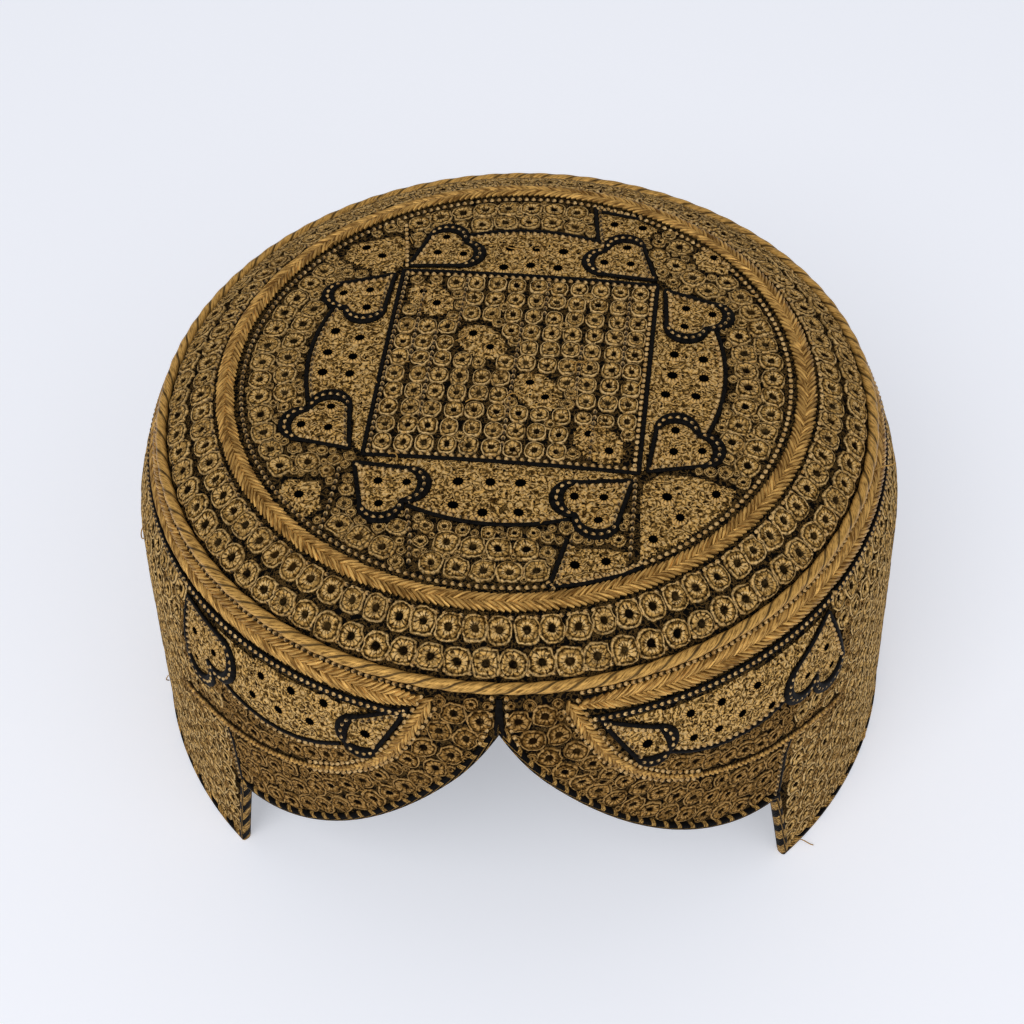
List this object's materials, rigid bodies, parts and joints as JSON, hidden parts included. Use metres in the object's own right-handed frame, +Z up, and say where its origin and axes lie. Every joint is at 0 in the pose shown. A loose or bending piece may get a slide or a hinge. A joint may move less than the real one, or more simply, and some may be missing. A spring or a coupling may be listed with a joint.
{
  "type": "sindhi cap",
  "caption": "Stiff round embroidered cap with a shallow crown and an upright wall, its front edge cut in two scallops that meet at a notch.",
  "frame": {"origin": "centre of the rim's circle, on the plane that the rim stands on", "axes": "+Z up through the middle of the crown, -Y to the front where the notch is, +X to the right as seen from the front"},
  "size_m": [0.1874, 0.1847, 0.1018],
  "materials": {
    "gold_embroidery": "dense antique gold thread work on black cotton, soft metallic sheen",
    "gold_cord": "laid and braided gold thread, brighter sheen",
    "black_cord": "matte black cotton thread, padded, with gold seed stitches",
    "striped_edge": "rolled edge whipped with black and gold thread in slanting stripes"
  },
  "bodies": {
    "root": {"crown_top": "gold_embroidery", "side_wall": "gold_embroidery", "edge_binding": "striped_edge", "seam_cord": "gold_cord", "ring_braid": "gold_cord", "brow_braid": "gold_cord", "brow_cord_left": "gold_cord", "brow_cord_right": "gold_cord", "square_cord": "black_cord", "heart_cord_1": "black_cord", "heart_cord_2": "black_cord", "heart_cord_3": "black_cord", "heart_cord_4": "black_cord", "heart_cord_5": "black_cord", "heart_cord_6": "black_cord", "heart_cord_7": "black_cord", "heart_cord_8": "black_cord", "arc_cord_1": "black_cord", "arc_cord_2": "black_cord", "arc_cord_3": "black_cord", "arc_cord_4": "black_cord", "wall_heart_left": "black_cord", "wall_heart_right": "black_cord", "wall_drop_left": "black_cord", "wall_drop_right": "black_cord", "lens_cord_left": "black_cord", "lens_cord_right": "black_cord"}
  },
  "joints": []
}
